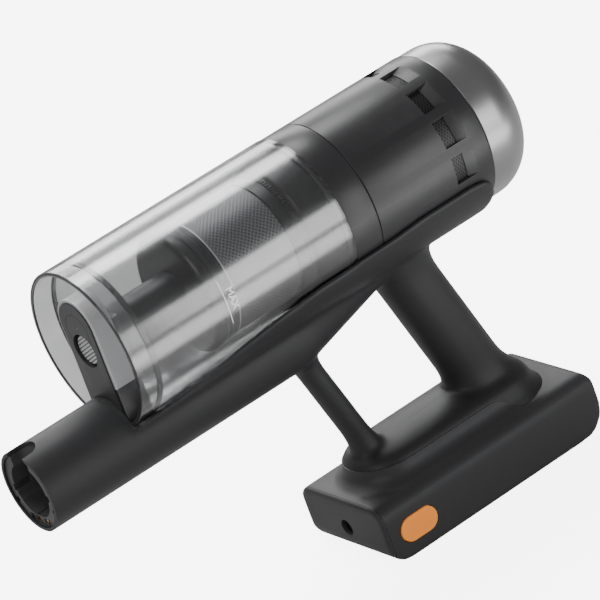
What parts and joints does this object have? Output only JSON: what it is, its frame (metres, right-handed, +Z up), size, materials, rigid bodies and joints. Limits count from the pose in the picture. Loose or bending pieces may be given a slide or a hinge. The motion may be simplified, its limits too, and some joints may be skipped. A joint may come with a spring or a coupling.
{
  "type": "handheld vacuum",
  "caption": "Cordless handheld vacuum: suction tube under a clear cyclone dust cup and motor housing, braced handle standing on a slide-off battery.",
  "frame": {"origin": "centre of the footprint, on the surface that the battery stands on", "axes": "+X along the tube from the nozzle to the rear cap, +Z up, +Y to the side that carries the screw heads"},
  "size_m": [0.364, 0.1, 0.2546],
  "materials": {
    "shell_grey": "fine moulded satin",
    "trim_grey": "smooth moulded",
    "cap_satin": "satin lacquer",
    "clear_smoke": "clear smoke-tinted polycarbonate",
    "button_silver": "satin",
    "pill_orange": "satin with a fine dot grip",
    "screen_mesh": "fine woven steel",
    "seal_rubber": "matt",
    "black_plastic": "matt",
    "contact_copper": "plated",
    "steel_part": "plain",
    "impeller_alloy": "machined",
    "board_green": "solder mask",
    "lens_black": "polished",
    "filter_white": "pleated fleece",
    "cell_wrap": "heat-shrink sleeve",
    "light_guide": "clear light pipe"
  },
  "bodies": {
    "main": {"frame_left": "shell_grey", "frame_right": "shell_grey", "frame_screws": "steel_part", "nozzle_collar": "trim_grey", "contact_block": "black_plastic", "contact_pins": "contact_copper", "intake_duct": "trim_grey", "duct_seal": "seal_rubber", "power_leads": "seal_rubber", "terminal_block": "black_plastic", "motor_housing": "shell_grey", "intake_bulkhead": "trim_grey", "cup_gasket": "seal_rubber", "vent_cone": "trim_grey", "motor_mount_front": "seal_rubber", "motor_mount_rear": "seal_rubber", "motor_can": "steel_part", "stator": "contact_copper", "motor_bearings": "steel_part", "diffuser": "steel_part", "control_board": "board_green", "control_pod": "trim_grey", "display_lens": "lens_black"},
    "rotor": {"rotor_shaft": "steel_part", "rotor_magnet": "steel_part", "impeller": "impeller_alloy"},
    "power_key": {"power_button": "button_silver"},
    "mode_key": {"mode_button": "button_silver"},
    "rear_cap": {"rear_cap": "cap_satin", "post_filter": "filter_white", "cap_seal": "seal_rubber"},
    "dust_cup": {"cup_shell": "clear_smoke", "front_panel": "shell_grey", "inlet_riser": "trim_grey", "inlet_pipe": "trim_grey", "cyclone_shoulder": "trim_grey", "mesh_screen": "screen_mesh", "cyclone_cone": "trim_grey", "cup_rear_ring": "trim_grey", "pre_filter": "filter_white", "release_spring": "steel_part", "latch_pin": "steel_part"},
    "cup_button": {"release_button": "button_silver"},
    "latch": {"latch_lever": "button_silver"},
    "battery": {"battery_case": "shell_grey", "battery_front": "shell_grey", "battery_cells": "cell_wrap", "cell_holder": "black_plastic", "cell_straps": "steel_part", "battery_board": "board_green", "charge_socket": "black_plastic", "charge_lights": "light_guide", "battery_contacts": "contact_copper", "battery_spring_left": "steel_part", "battery_spring_right": "steel_part"},
    "battery_key_left": {"battery_button_left": "pill_orange"},
    "battery_key_right": {"battery_button_right": "pill_orange"}
  },
  "joints": [
    {"name": "cup_lift", "type": "slide", "parent": "main", "child": "dust_cup", "axis": [0, 0, 1], "range_m": [0, 0.06]},
    {"name": "release_press", "type": "slide", "parent": "dust_cup", "child": "cup_button", "axis": [1, 0, 0], "range_m": [0, 0.0015], "stiffness_N_per_m": 600, "springref_m": -0.0008, "deforming": ["release_spring"]},
    {"name": "latch_swing", "type": "hinge", "parent": "dust_cup", "child": "latch", "pos_m": [-0.1121, 0, 0.2266], "axis": [0, -1, 0], "range_deg": [0, 3.1]},
    {"name": "battery_slide", "type": "slide", "parent": "main", "child": "battery", "axis": [0, 0, -1], "range_m": [0, 0.035]},
    {"name": "battery_press_left", "type": "slide", "parent": "battery", "child": "battery_key_left", "axis": [0, 1, 0], "range_m": [0, 0.0022], "stiffness_N_per_m": 700, "springref_m": -0.0008, "deforming": ["battery_spring_left"]},
    {"name": "battery_press_right", "type": "slide", "parent": "battery", "child": "battery_key_right", "axis": [0, -1, 0], "range_m": [0, 0.0022], "stiffness_N_per_m": 700, "springref_m": -0.0008, "deforming": ["battery_spring_right"]},
    {"name": "cap_twist", "type": "hinge", "parent": "main", "child": "rear_cap", "pos_m": [0.15, 0, 0.2046], "axis": [1, 0, 0], "range_deg": [0, 30]},
    {"name": "rotor_spin", "type": "hinge", "parent": "main", "child": "rotor", "pos_m": [0.1, 0, 0.2046], "axis": [1, 0, 0], "continuous": true},
    {"name": "power_press", "type": "slide", "parent": "main", "child": "power_key", "axis": [-1, 0, 0], "range_m": [0, 0.0012], "stiffness_N_per_m": 500, "springref_m": -0.0005},
    {"name": "mode_press", "type": "slide", "parent": "main", "child": "mode_key", "axis": [-1, 0, 0], "range_m": [0, 0.0012], "stiffness_N_per_m": 500, "springref_m": -0.0005}
  ],
  "couplings": [
    {"joint": "latch_swing", "follows": "release_press", "rad_per_m": 34.483}
  ]
}
